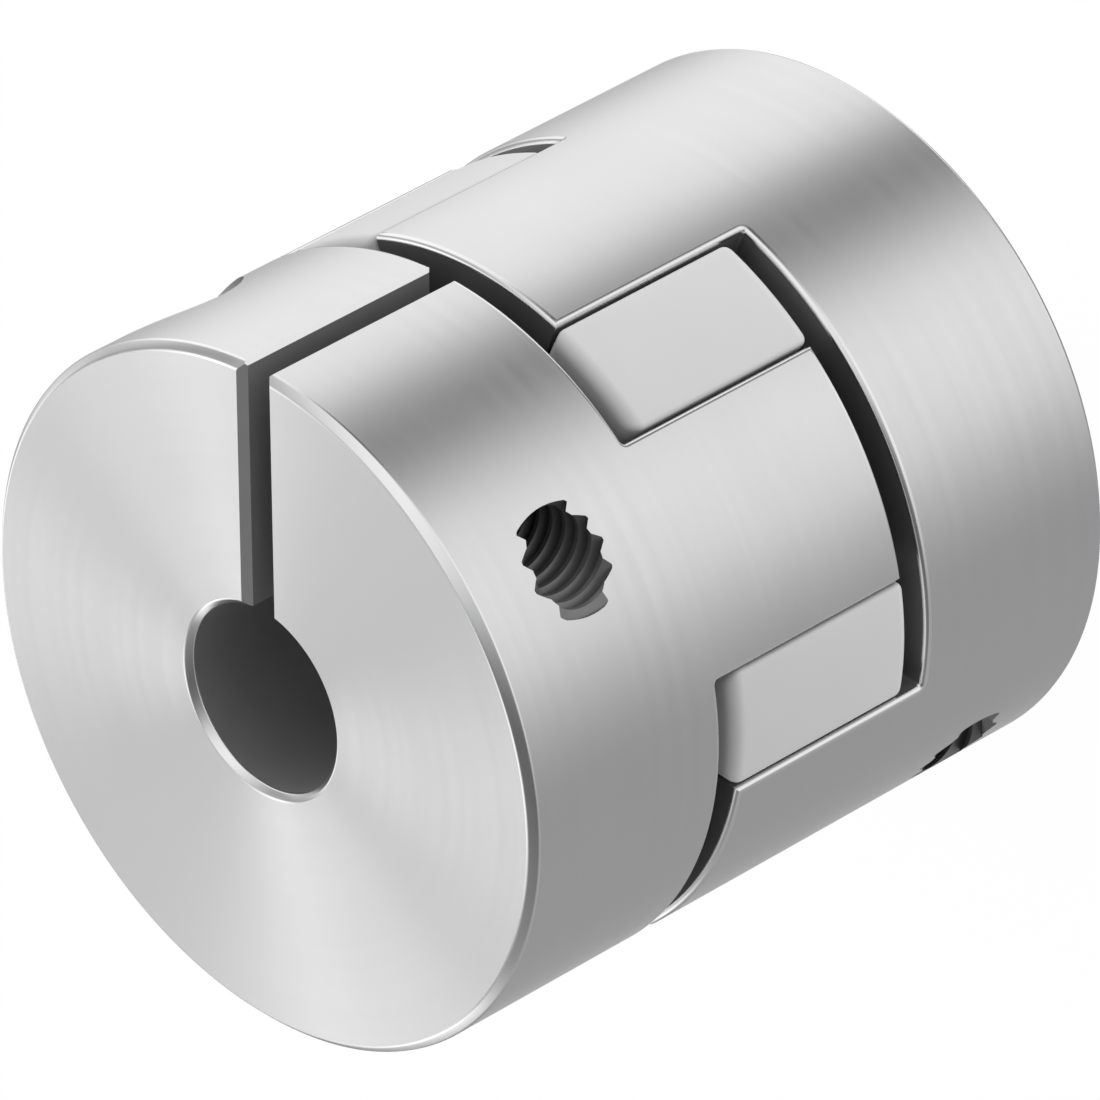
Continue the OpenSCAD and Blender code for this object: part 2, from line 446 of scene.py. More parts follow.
@dataclass
class ClampingHub:
    """Clamping hub with its end face at z = 0, its jaws up and its slot towards -X."""

    outside_r: float = 15.0
    bore_r: float = 4.0
    body_l: float = 10.25
    jaw_l: float = 10.35
    jaw_inner_r: float = 7.5
    slot_w: float = 1.2
    end_chamfer: float = 0.4
    mouth_chamfer: float = 0.32
    slot_chamfer: float = 0.2
    edge_chamfer: float = 0.25
    root_fillet: float = 0.15
    jaws: int = 3
    overall_l: float = 32.0
    pocket: FlankArc = field(default_factory=lambda: FlankArc(4.4, 40.0))
    screw: ClampScrew = field(default_factory=ClampScrew)
    jaw_steps: int = 14
    fillet_steps: int = 6
    root_steps: int = 44
    crown_radii: tuple[float, ...] = (13.5, 12.0, 10.5, 9.0)

    @property
    def tip_z(self) -> float:
        """Height of the jaws' tips."""
        return self.body_l + self.jaw_l

    @property
    def jaw_pitch(self) -> float:
        """Angle from one jaw to the next."""
        return 360 / self.jaws

    def flank(self, radius: float, inset: float) -> float:
        """Angle from a jaw's middle line to its flank, where the edge chamfer has taken away the inset."""
        return self.jaw_pitch / 4 - self.pocket.angle_at(radius) - across(inset, radius)

    def rim(self, radius: float, inset: float, low: Optional[float] = None) -> list[Vector]:
        """Foot of the crown of jaws at one radius, once round, from the first jaw's middle line.

        Args:
            radius: Distance from the Z axis.
            inset: How much the edge chamfer has taken away there.
            low: Height of every place, instead of the foot's own heights.

        Returns:
            The places.
        """
        flank = self.flank(radius, inset)
        shoulder = self.flank(radius, 0) + across(self.root_fillet, radius)
        round_r = self.root_fillet + inset
        half: list[tuple[float, float]] = []
        for k in range(self.jaw_steps + 1):
            half.append((flank * k / self.jaw_steps, self.body_l + self.root_fillet))
        for k in range(1, self.fillet_steps + 1):
            turn = math.pi / 2 * k / self.fillet_steps
            angle = shoulder - across(round_r * math.cos(turn), radius)
            half.append((angle, self.body_l + self.root_fillet - round_r * math.sin(turn)))
        root_half = self.jaw_pitch / 2 - shoulder
        steps = self.root_steps // 2
        for k in range(1, steps + 1):
            half.append((shoulder + root_half * k / steps, self.body_l - inset))
        third = half + [(self.jaw_pitch - angle, z) for angle, z in reversed(half[1:-1])]
        return [
            polar(k * self.jaw_pitch + angle, radius, z if low is None else low)
            for k in range(self.jaws)
            for angle, z in third
        ]

    def jaw_rows(self) -> list[list[int]]:
        """Places in a rim from flank to flank of each jaw.

        Returns:
            The places' numbers for each jaw.
        """
        count = self.columns
        return [
            [(k * count // self.jaws + j) % count for j in range(-self.jaw_steps, self.jaw_steps + 1)]
            for k in range(self.jaws)
        ]

    @property
    def columns(self) -> int:
        """Number of places in a rim."""
        return self.jaws * 2 * (self.jaw_steps + self.fillet_steps + self.root_steps // 2)

    def crown(self, rim: Sequence, tips: Sequence[Sequence]) -> list:
        """Outline of the crown once round, over the tips and down the flanks.

        Args:
            rim: Vertices or places of the crown's foot.
            tips: The same for each jaw's tip, from flank to flank.

        Returns:
            The outline's vertices or places, in order.
        """
        count = self.columns
        outline: list = []
        for k, tip in enumerate(tips):
            outline.extend(tip)
            start = k * count // self.jaws + self.jaw_steps
            stop = (k + 1) * count // self.jaws - self.jaw_steps
            outline.extend(rim[j % count] for j in range(start, stop + 1))
        return outline

    def tips(self, radius: float, inset: float, z: float) -> list[list[Vector]]:
        """Places along each jaw's tip at one radius.

        Args:
            radius: Distance from the Z axis.
            inset: How much the edge chamfer has taken away there.
            z: Height of the places.

        Returns:
            The places for each jaw, from flank to flank.
        """
        flank = self.flank(radius, inset)
        return [
            [
                polar(k * self.jaw_pitch + flank * j / self.jaw_steps, radius, z)
                for j in range(-self.jaw_steps, self.jaw_steps + 1)
            ]
            for k in range(self.jaws)
        ]

    def blank(self, name: str) -> Object:
        """Grows the turned and milled blank, still without slot and screw holes.

        Args:
            name: The piece's name.

        Returns:
            The solid.
        """
        skin = Skin()
        chamfer = self.edge_chamfer
        face = skin.ring(self.rim(self.outside_r - self.end_chamfer, chamfer, low=0.0))
        belt = face
        for inward, along in eased_chamfer(self.end_chamfer):
            belt = skin.grow(belt, self.rim(self.outside_r - inward, chamfer, low=along))
        foot = skin.grow(belt, self.rim(self.outside_r, chamfer))
        rows = self.jaw_rows()
        tip_rows = [
            skin.grow([foot[j] for j in row], places, closed=False)
            for row, places in zip(rows, self.tips(self.outside_r, chamfer, self.tip_z - chamfer))
        ]
        outline = self.crown(foot, tip_rows)
        for inset, inward in quarter_round(chamfer):
            radius = self.outside_r - inward
            places = self.crown(self.rim(radius, inset), self.tips(radius, inset, self.tip_z - inset))
            outline = skin.grow(outline, places)
        for radius in (*self.crown_radii, self.jaw_inner_r):
            places = self.crown(self.rim(radius, 0), self.tips(radius, 0, self.tip_z))
            outline = skin.grow(outline, places)
        self._close_inside(skin, outline, face, rows)
        return skin.solid(name)

    def _close_inside(
        self, skin: Skin, outline: list[BMVert], face: list[BMVert], rows: list[list[int]]
    ) -> None:
        """Adds the jaws' inner faces, the floor between them, the bore and the end face.

        Args:
            skin: The surface so far.
            outline: The crown's outline at the jaws' inner radius.
            face: The end face's outer ring.
            rows: Places in a rim from flank to flank of each jaw.
        """
        count = self.columns
        inner = self.jaw_inner_r
        per_jaw = 2 * self.jaw_steps + 1
        per_third = len(outline) // self.jaws
        ring: list[Optional[BMVert]] = [None] * count
        tip_rows = []
        for k in range(self.jaws):
            base = k * per_third
            tip_rows.append(outline[base:base + per_jaw])
            start = k * count // self.jaws + self.jaw_steps
            for step, vert in enumerate(outline[base + per_jaw:base + per_third]):
                ring[(start + step) % count] = vert
        heels = self.tips(inner, 0, self.body_l + self.root_fillet)
        for row, tip, places in zip(rows, tip_rows, heels):
            heel = skin.grow(tip, places, closed=False)
            skin.weld([(heel[0], ring[row[0]]), (heel[-1], ring[row[-1]])])
            for j, vert in zip(row[1:-1], heel[1:-1]):
                ring[j] = vert
        floor = self.rim(inner, 0, low=self.body_l)
        reach = self.jaw_steps + self.fillet_steps
        for k in range(self.jaws):
            span = [(k * count // self.jaws + j) % count for j in range(-reach, reach + 1)]
            lower = skin.grow([ring[j] for j in span], [floor[j] for j in span], closed=False)
            skin.weld([(lower[0], ring[span[0]]), (lower[-1], ring[span[-1]])])
            for j, vert in zip(span[1:-1], lower[1:-1]):
                ring[j] = vert
        angles = [math.degrees(math.atan2(p.y, p.x)) for p in floor]
        mouth = [(self.bore_r + along, inward) for inward, along in eased_chamfer(self.mouth_chamfer)]
        for radius, z in [(self.bore_r, self.body_l), (self.bore_r, self.mouth_chamfer)] + mouth:
            ring = skin.grow(ring, [polar(angle, radius, z) for angle in angles])
        last = skin.grow(ring, [vert.co.copy() for vert in face])
        skin.weld(list(zip(last, face)))

    def slot_cutters(self) -> list[Object]:
        """Radial slot from the bore to the outside, and the chamfers along its edges.

        Returns:
            The cutters.
        """
        far = -self.outside_r - MARGIN
        half = self.slot_w / 2
        mouth = (half + self.mouth_chamfer) / math.sqrt(2)
        edge = (half + self.slot_chamfer) / math.sqrt(2)
        top = self.body_l + MARGIN
        about_x = Matrix.Rotation(math.radians(45), 4, "X")
        about_z = Matrix.Rotation(math.radians(45), 4, "Z")
        to_jaws = Matrix.Translation((0, 0, self.body_l))
        to_outside = Matrix.Translation((-self.outside_r, 0, 0))
        return [
            block((far, -half, -MARGIN), (0, half, top)),
            block((far, -mouth, -mouth), (0, mouth, mouth), about_x),
            block((far, -edge, -edge), (0, edge, edge), to_jaws @ about_x),
            block((-edge, -edge, -MARGIN), (edge, edge, top), to_outside @ about_z),
        ]

    def turned(self, turn: Turn) -> Matrix:
        """Matrix that puts the hub where it stands in the coupling.

        Args:
            turn: Way it stands.

        Returns:
            The matrix.
        """
        if turn is Turn.AS_MADE:
            return Matrix()
        return Matrix.Translation((0, 0, self.overall_l)) @ Matrix.Rotation(math.pi, 4, "Y")

    def build(self, name: str) -> Object:
        """Makes the hub with all its cuts, in the rear place.

        Args:
            name: The piece's name.

        Returns:
            The piece, in millimetres.
        """
        hub = self.blank(name)
        for cutter in self.slot_cutters() + self.screw.cutters():
            machine(hub, cutter)
        return hub

    def finish_of(self, middle: np.ndarray, sideways: float, turned: bool) -> int:
        """Number of a face's finish: 0 turned, 1 chamfered, 2 sawn or bored with painted shade, 3 tapped or
        between the jaws with darker painted shade.

        Args:
            middle: The face's middle.
            sideways: How much it faces along the screw, from 0 to 1.
            turned: Whether it lies on the outside or the end face.

        Returns:
            The material index.
        """
        if turned:
            return 0
        slack, floor_slack = 0.02, 0.05
        slot_wall = 0.95
        past_seat = middle[1] > self.screw.seat - slack
        reach = self.screw.counterbore_r if past_seat else self.screw.clearance_r
        # Painted shade: screw hole walls past the seat or across the slot get the lighter painted shade, the
        # rest of the hole the darker one
        if math.hypot(middle[0] + self.screw.offset, middle[2] - self.screw.from_end) < reach + slack:
            return 2 if past_seat or sideways > slot_wall else 3
        outer_edge = math.hypot(middle[0], middle[1]) > self.outside_r - self.edge_chamfer
        if outer_edge or middle[2] < self.mouth_chamfer + slack:
            return 1
        # Painted shade: the floor, flanks and tips between the jaws get the darker painted shade, the bore
        # and slot walls the lighter one
        return 3 if middle[2] > self.body_l - floor_slack else 2

    def true_normals(self, thing: Object) -> None:
        """Gives the turned faces the exact normals of their cylinders, and every face its finish.

        Args:
            thing: The hub, in the rear place and in millimetres.
        """
        mesh = thing.data
        spots = np.zeros(len(mesh.vertices) * 3)
        mesh.vertices.foreach_get("co", spots)
        spots = spots.reshape(-1, 3)
        radii = np.hypot(spots[:, 0], spots[:, 1])
        custom = np.zeros((len(mesh.loops), 3))
        tolerance, level, upright = 0.004, 0.9999, 0.05
        for face in mesh.polygons:
            ids = np.array(face.vertices)
            own = radii[ids]
            loops = range(face.loop_start, face.loop_start + face.loop_total)
            rise = abs(face.normal.z)
            flat = rise > level
            outside, bore = (
                rise < upright and np.all(np.abs(own - radius) < tolerance)
                for radius in (self.outside_r, self.bore_r)
            )
            if outside or bore:
                sign = 1.0 if outside else -1.0
                custom[loops, :2] = sign * spots[ids, :2] / own[:, None]
            elif flat:
                custom[loops, 2] = face.normal.z
            end_face = flat and np.all(spots[ids, 2] < tolerance)
            turned = outside or end_face
            face.material_index = self.finish_of(np.array(face.center), abs(face.normal.y), turned)
        mesh.set_sharp_from_angle(angle=SMOOTH_ANGLE)
        mesh.normals_split_custom_set(custom.tolist())


@dataclass
class Spider:
    """Elastomer spider: a ring with crowned cams, which stands between the hubs."""

    cam: FlankArc = field(default_factory=lambda: FlankArc(4.25, 30.0))
    outer_r: float = 14.9
    bottom: float = 11.1
    length: float = 9.8
    round_r: float = 0.6
    corner_r: float = 0.22
    hole_r: float = 5.25
    ring_r: float = 7.2
    recess: float = 0.8
    cams: int = 6
    bump_h: float = 0.85
    bump_r: float = 1.0
    bump_taper: float = 0.42
    bump_root: float = 0.1
    pitch_r: float = 11.25
    ring_round: float = 0.25
    ring_columns: int = 180
    flank_steps: int = 10
    corner_steps: int = 5
    outer_steps: int = 8
    round_steps: int = 7

    def outline(self, inset: float, z: float, turn: float) -> list[Vector]:
        """Outline of a cam at one height.

        Args:
            inset: How far every side is moved inwards.
            z: Height.
            turn: Angle of the cam's middle line in degrees.

        Returns:
            The places, from the ring out along one flank and back along the other.
        """
        corner = self.corner_r
        start_r = (self.hole_r + self.ring_r) / 2
        outer = self.outer_r - inset
        pivot_r = outer - corner
        arc = self.cam
        upper: list[Vector] = []
        for k in range(self.flank_steps + 1):
            radius = start_r + (pivot_r - start_r) * k / self.flank_steps
            upper.append(polar(arc.angle_at(radius, inset), radius, z))
        pivot = polar(arc.angle_at(pivot_r, inset + corner), pivot_r, z)
        side = pivot - arc.centre()
        first = math.atan2(side.y, side.x)
        last = math.atan2(pivot.y, pivot.x)
        upper[-1] = pivot + corner * Vector((math.cos(first), math.sin(first), 0))
        upper[-1].z = z
        for k in range(1, self.corner_steps + 1):
            angle = first + (last - first) * k / self.corner_steps
            upper.append(pivot + corner * Vector((math.cos(angle), math.sin(angle), 0)))
        end = math.degrees(math.atan2(upper[-1].y, upper[-1].x))
        for k in range(1, self.outer_steps + 1):
            upper.append(polar(end * (1 - k / self.outer_steps), outer, z))
        lower = [Vector((p.x, -p.y, p.z)) for p in reversed(upper[:-1])]
        spun = Matrix.Rotation(math.radians(turn), 4, "Z")
        return [spun @ place for place in upper + lower]

    def cam_solid(self, turn: float) -> Object:
        """One cam with rounded ends.

        Args:
            turn: Angle of its middle line in degrees.

        Returns:
            The solid.
        """
        skin = Skin()
        levels = [(self.round_r, 0.0)] + quarter_round(self.round_r, self.round_steps)
        heights = [(inset, self.bottom + rise) for inset, rise in levels]
        heights += [(inset, self.bottom + self.length - rise) for inset, rise in reversed(levels)]
        ring = skin.ring(self.outline(heights[0][0], heights[0][1], turn))
        skin.cap(ring)
        for inset, z in heights[1:]:
            ring = skin.grow(ring, self.outline(inset, z, turn))
        skin.cap(ring)
        return skin.solid("cam")

    def ring_solid(self, name: str) -> Object:
        """The ring that joins the cams.

        Args:
            name: The piece's name.

        Returns:
            The solid.
        """
        skin = Skin()
        low, high = self.bottom + self.recess, self.bottom + self.length - self.recess
        soft = self.ring_round
        profile = (
            (self.hole_r + soft, low), (self.ring_r - soft, low), (self.ring_r, low + soft),
            (self.ring_r, high - soft), (self.ring_r - soft, high), (self.hole_r + soft, high),
            (self.hole_r, high - soft), (self.hole_r, low + soft),
        )
        count = self.ring_columns
        rows = [[polar(k * 360 / count, radius, z) for k in range(count)] for radius, z in profile]
        first = skin.ring(rows[0])
        ring = first
        for places in rows[1:]:
            ring = skin.grow(ring, places)
        last = skin.grow(ring, rows[0])
        skin.weld(list(zip(last, first)))
        return skin.solid(name)

    def bump(self, index: int) -> Object:
        """Bump that keeps a cam off the hub: at the front on every second cam, at the rear on the others.

        Args:
            index: The cam's number.

        Returns:
            The solid.
        """
        skin = Skin()
        front = index % 2 == 0
        foot = self.bottom + (self.length - self.bump_root if front else self.bump_root)
        height = self.bump_h + self.bump_root
        bmesh.ops.create_cone(
            skin.bm, cap_ends=True, segments=32, radius1=self.bump_r, radius2=self.bump_r - self.bump_taper,
            depth=height, matrix=Matrix.Translation((0, 0, height / 2)),
        )
        turn = Matrix.Rotation(math.radians(self.middle_of(index)), 4, "Z")
        flip = Matrix.Diagonal((1, 1, 1 if front else -1, 1))
        return skin.solid("bump", turn @ Matrix.Translation((self.pitch_r, 0, foot)) @ flip)

    def middle_of(self, index: int) -> float:
        """Angle of a cam's middle line in degrees."""
        return (index + 0.5) * 360 / self.cams

    def build(self, name: str) -> Object:
        """Joins ring, cams and bumps to one solid.

        Args:
            name: The piece's name.

        Returns:
            The piece, in millimetres.
        """
        spider = self.ring_solid(name)
        for k in range(self.cams):
            machine(spider, self.cam_solid(self.middle_of(k)), Machining.JOIN)
            machine(spider, self.bump(k), Machining.JOIN)
        spider.data.set_sharp_from_angle(angle=SOFT_ANGLE)
        return spider


class Nodes:
    """Short way to write a node tree."""

    def __init__(self, tree: NodeTree) -> None:
        """Clears the tree and keeps it."""
        self.tree = tree
        tree.nodes.clear()

    def add(self, kind: str, settings: Optional[dict] = None, **inputs: object) -> Node:
        """Adds a node and sets or links its inputs.

        Args:
            kind: The node's type, without the ShaderNode in front.
            settings: Properties of the node.
            **inputs: Values or sockets for its inputs, named with underscores, or i0, i1 for their number.

        Returns:
            The node.
        """
        node = self.tree.nodes.new("ShaderNode" + kind)
        for name, value in (settings or {}).items():
            setattr(node, name, value)
        for name, value in inputs.items():
            numbered = name[0] == "i" and name[1:].isdigit()
            socket = node.inputs[int(name[1:])] if numbered else node.inputs[name.replace("_", " ")]
            if isinstance(value, NodeSocket):
                self.tree.links.new(value, socket)
            else:
                socket.default_value = value
        return node

    def maths(self, operation: str, first: object, second: object = 0.0) -> NodeSocket:
        """Adds a Math node and returns its output."""
        return self.add("Math", {"operation": operation}, i0=first, i1=second).outputs[0]

    def vectors(self, operation: str, first: object, second: object = (0, 0, 0)) -> NodeSocket:
        """Adds a Vector Math node and returns its output."""
        node = self.add("VectorMath", {"operation": operation}, i0=first, i1=second)
        return node.outputs["Value" if operation in ("DOT_PRODUCT", "LENGTH") else "Vector"]

    def multiply_add(self, value: object, factor: float, base: object) -> NodeSocket:
        """Adds a Math node that scales a value and adds a base, and returns its output."""
        return self.add("Math", {"operation": "MULTIPLY_ADD"}, i0=value, i1=factor, i2=base).outputs[0]

    def swung(self, noise: object, spread: float, base: object) -> NodeSocket:
        """Swings a value round its base with a noise and returns the output."""
        return self.multiply_add(self.maths("SUBTRACT", noise, 0.5), spread, base)

    def mixed(self, share: object, first: object, second: object) -> NodeSocket:
        """Adds a Mix node for two colours and returns its colour."""
        return self.add("Mix", {"data_type": "RGBA"}, i0=share, i6=first, i7=second).outputs[2]

    def eased(self, value: object, low: float, high: float) -> NodeSocket:
        """Adds a smooth step from 0 at the low value to 1 at the high one and returns its output."""
        smooth = {"interpolation_type": "SMOOTHSTEP"}
        return self.add("MapRange", smooth, i0=value, i1=low, i2=high).outputs[0]

    def direct(self) -> NodeSocket:
        """Adds a switch that is 1 for camera, glossy and transmission rays and 0 for the others.

        Returns:
            The switch.
        """
        rays = self.add("LightPath").outputs
        seen = self.maths("MAXIMUM", rays["Is Camera Ray"], rays["Is Glossy Ray"])
        return self.maths("MAXIMUM", seen, rays["Is Transmission Ray"])

    def noise(self, place: object, scale: float, detail: float, falloff: float = 0.5) -> NodeSocket:
        """Adds a noise and returns its grey output."""
        noise = self.add("TexNoise", None, Vector=place, Scale=scale, Detail=detail, Roughness=falloff)
        return noise.outputs[0]

    def ramp(self, factor: object, stops: Sequence[tuple[float, float]]) -> NodeSocket:
        """Adds a grey colour ramp that is straight between its stops.

        Args:
            factor: What drives it.
            stops: Position and grey level of each stop.

        Returns:
            The ramp's colour.
        """
        node = self.add("ValToRGB", None, i0=factor)
        ramp = node.color_ramp
        ramp.interpolation = "LINEAR"
        while len(ramp.elements) < len(stops):
            ramp.elements.new(0.5)
        for element, (position, grey) in zip(ramp.elements, stops):
            element.position = position
            element.color = (grey, grey, grey, 1)
        return node.outputs[0]


@dataclass(frozen=True)
class Finish:
    """A finish with a fine grain, evenly spread unless its own class says otherwise."""

    name: str
    color: Triple
    roughness: float
    grain_scale: float
    cloud_scale: float
    metallic: float = 1.0
    grain_detail: float = 3.0
    cloud_detail: float = 2.0
    rough_spread: float = 0.0
    tint_spread: float = 0.0
    relief: float = 0.1
    grain_h: float = 0.00001

    def material(self) -> Material:
        """Builds the material.

        Returns:
            The material, without a piece.
        """
        material = bpy.data.materials.new(self.name)
        material.use_nodes = True
        nodes = Nodes(material.node_tree)
        shader = self.shader(nodes, nodes.add("TexCoord").outputs["Object"])
        nodes.add("OutputMaterial", None, Surface=shader.outputs[0])
        return material

    def shader(self, nodes: Nodes, place: NodeSocket) -> Node:
        """Adds the shader, with a cloudy roughness or a cloudy tint.

        Args:
            nodes: The material's nodes.
            place: Object coordinates.

        Returns:
            The shader.
        """
        grain = nodes.noise(place, self.grain_scale, self.grain_detail)
        cloud = nodes.noise(place, self.cloud_scale, self.cloud_detail)
        color, rough = (*self.color, 1), self.roughness
        if self.tint_spread:
            shares = (1 - self.tint_spread, 1 + self.tint_spread)
            color = nodes.mixed(cloud, *((*(share * c for c in self.color), 1) for share in shares))
        if self.rough_spread:
            rough = nodes.swung(cloud, self.rough_spread, rough)
        return nodes.add(
            "BsdfPrincipled", None, Base_Color=color, Metallic=self.metallic, Roughness=rough,
            Normal=self.bump(nodes, grain),
        )

    def bump(self, nodes: Nodes, grain: NodeSocket) -> NodeSocket:
        """Adds the grain's relief and returns its normal."""
        return nodes.add("Bump", None, Strength=self.relief, Distance=self.grain_h, Height=grain).outputs[0]


@dataclass(frozen=True)
class TurnedAluminium(Finish):
    """Bright aluminium whose fine turning marks run round the shaft axis."""

    name: str = "turned_aluminium"
    color: Triple = (0.86, 0.86, 0.865)
    roughness: float = 0.4
    anisotropy: float = 0.9
    grain_scale: float = 16000.0
    grain_falloff: float = 0.6
    band_scale: float = 1800.0
    band_detail: float = 2.0
    band_spread: float = 0.10
    cloud_scale: float = 260.0
    cloud_detail: float = 3.0
    cloud_falloff: float = 0.55
    rough_spread: float = 0.05
    relief: float = 0.3

    def shader(self, nodes: Nodes, place: NodeSocket) -> Node:
        """Adds the shader, whose tangent and patterns follow the marks.

        Args:
            nodes: The material's nodes.
            place: Object coordinates.

        Returns:
            The shader.
        """
        parts = nodes.add("SeparateXYZ", None, i0=place)
        normal = nodes.add("NewGeometry").outputs["Normal"]
        around = nodes.vectors("CROSS_PRODUCT", (0, 0, 1), place)
        tangent = nodes.vectors("NORMALIZE", nodes.vectors("CROSS_PRODUCT", normal, around))
        flat = nodes.add("CombineXYZ", None, i0=parts.outputs[0], i1=parts.outputs[1])
        radius = nodes.vectors("LENGTH", flat.outputs[0])
        lines = nodes.add("CombineXYZ", None, i0=radius, i1=0.0, i2=parts.outputs[2]).outputs[0]
        grain = nodes.noise(lines, self.grain_scale, self.grain_detail, self.grain_falloff)
        bands = nodes.noise(lines, self.band_scale, self.band_detail)
        cloud = nodes.noise(place, self.cloud_scale, self.cloud_detail, self.cloud_falloff)
        drift = nodes.swung(bands, self.band_spread, self.roughness)
        return nodes.add(
            "BsdfPrincipled", None, Base_Color=(*self.color, 1), Metallic=self.metallic,
            Roughness=nodes.swung(cloud, self.rough_spread, drift), Anisotropic=self.anisotropy,
            Tangent=tangent, Normal=self.bump(nodes, grain),
        )


@dataclass(frozen=True)
class MilledAluminium(Finish):
    """Bright bare aluminium of the rounded and chamfered edges."""

    name: str = "milled_aluminium"
    color: Triple = (0.86, 0.86, 0.865)
    roughness: float = 0.22
    grain_scale: float = 9000.0
    cloud_scale: float = 700.0
    rough_spread: float = 0.12
    relief: float = 0.08


@dataclass(frozen=True)
class CutWallPaintedShade(Finish):
    """Walls of the bore, the slot and the counterbore, dull from the cutting tool, with painted shade: a
    grey darker than the bare aluminium stands in for the shade in these hollows.
    """

    name: str = "cut_wall_painted_shade"
    # Painted shade: this grey is darker than the aluminium's own colour to show the shade inside the bore,
    # slot and counterbore
    color: Triple = (0.47, 0.47, 0.475)
    roughness: float = 0.38
    metallic: float = 0.6
    grain_scale: float = 6000.0
    cloud_scale: float = 600.0
    rough_spread: float = 0.15


@dataclass(frozen=True)
class DeepWallPaintedShade(CutWallPaintedShade):
    """Walls of the screw holes below the head's seat, and between the jaws, in a still darker grey as
    painted shade of these deep hollows.
    """

    name: str = "deep_wall_painted_shade"
    # Painted shade: a darker grey still, for the deep shade in the screw holes and the gaps between the jaws
    color: Triple = (0.22, 0.22, 0.222)


@dataclass(frozen=True)
class Elastomer(Finish):
    """Light grey moulded elastomer with a soft sheen."""

    name: str = "light_elastomer"
    color: Triple = (0.65, 0.65, 0.65)
    roughness: float = 0.5
    metallic: float = 0.0
    grain_scale: float = 5000.0
    grain_detail: float = 4.0
    cloud_scale: float = 300.0
    tint_spread: float = 0.03
    relief: float = 0.15
    grain_h: float = 0.00002


@dataclass(frozen=True)
class BlackOxide(Finish):
    """Blackened steel of the screws."""

    name: str = "black_oxide_steel"
    color: Triple = (0.05, 0.05, 0.055)
    roughness: float = 0.38
    metallic: float = 0.9
    grain_scale: float = 1500.0
    cloud_scale: float = 1500.0
    cloud_detail: float = 3.0
    rough_spread: float = 0.2
    grain_h: float = 0.00002


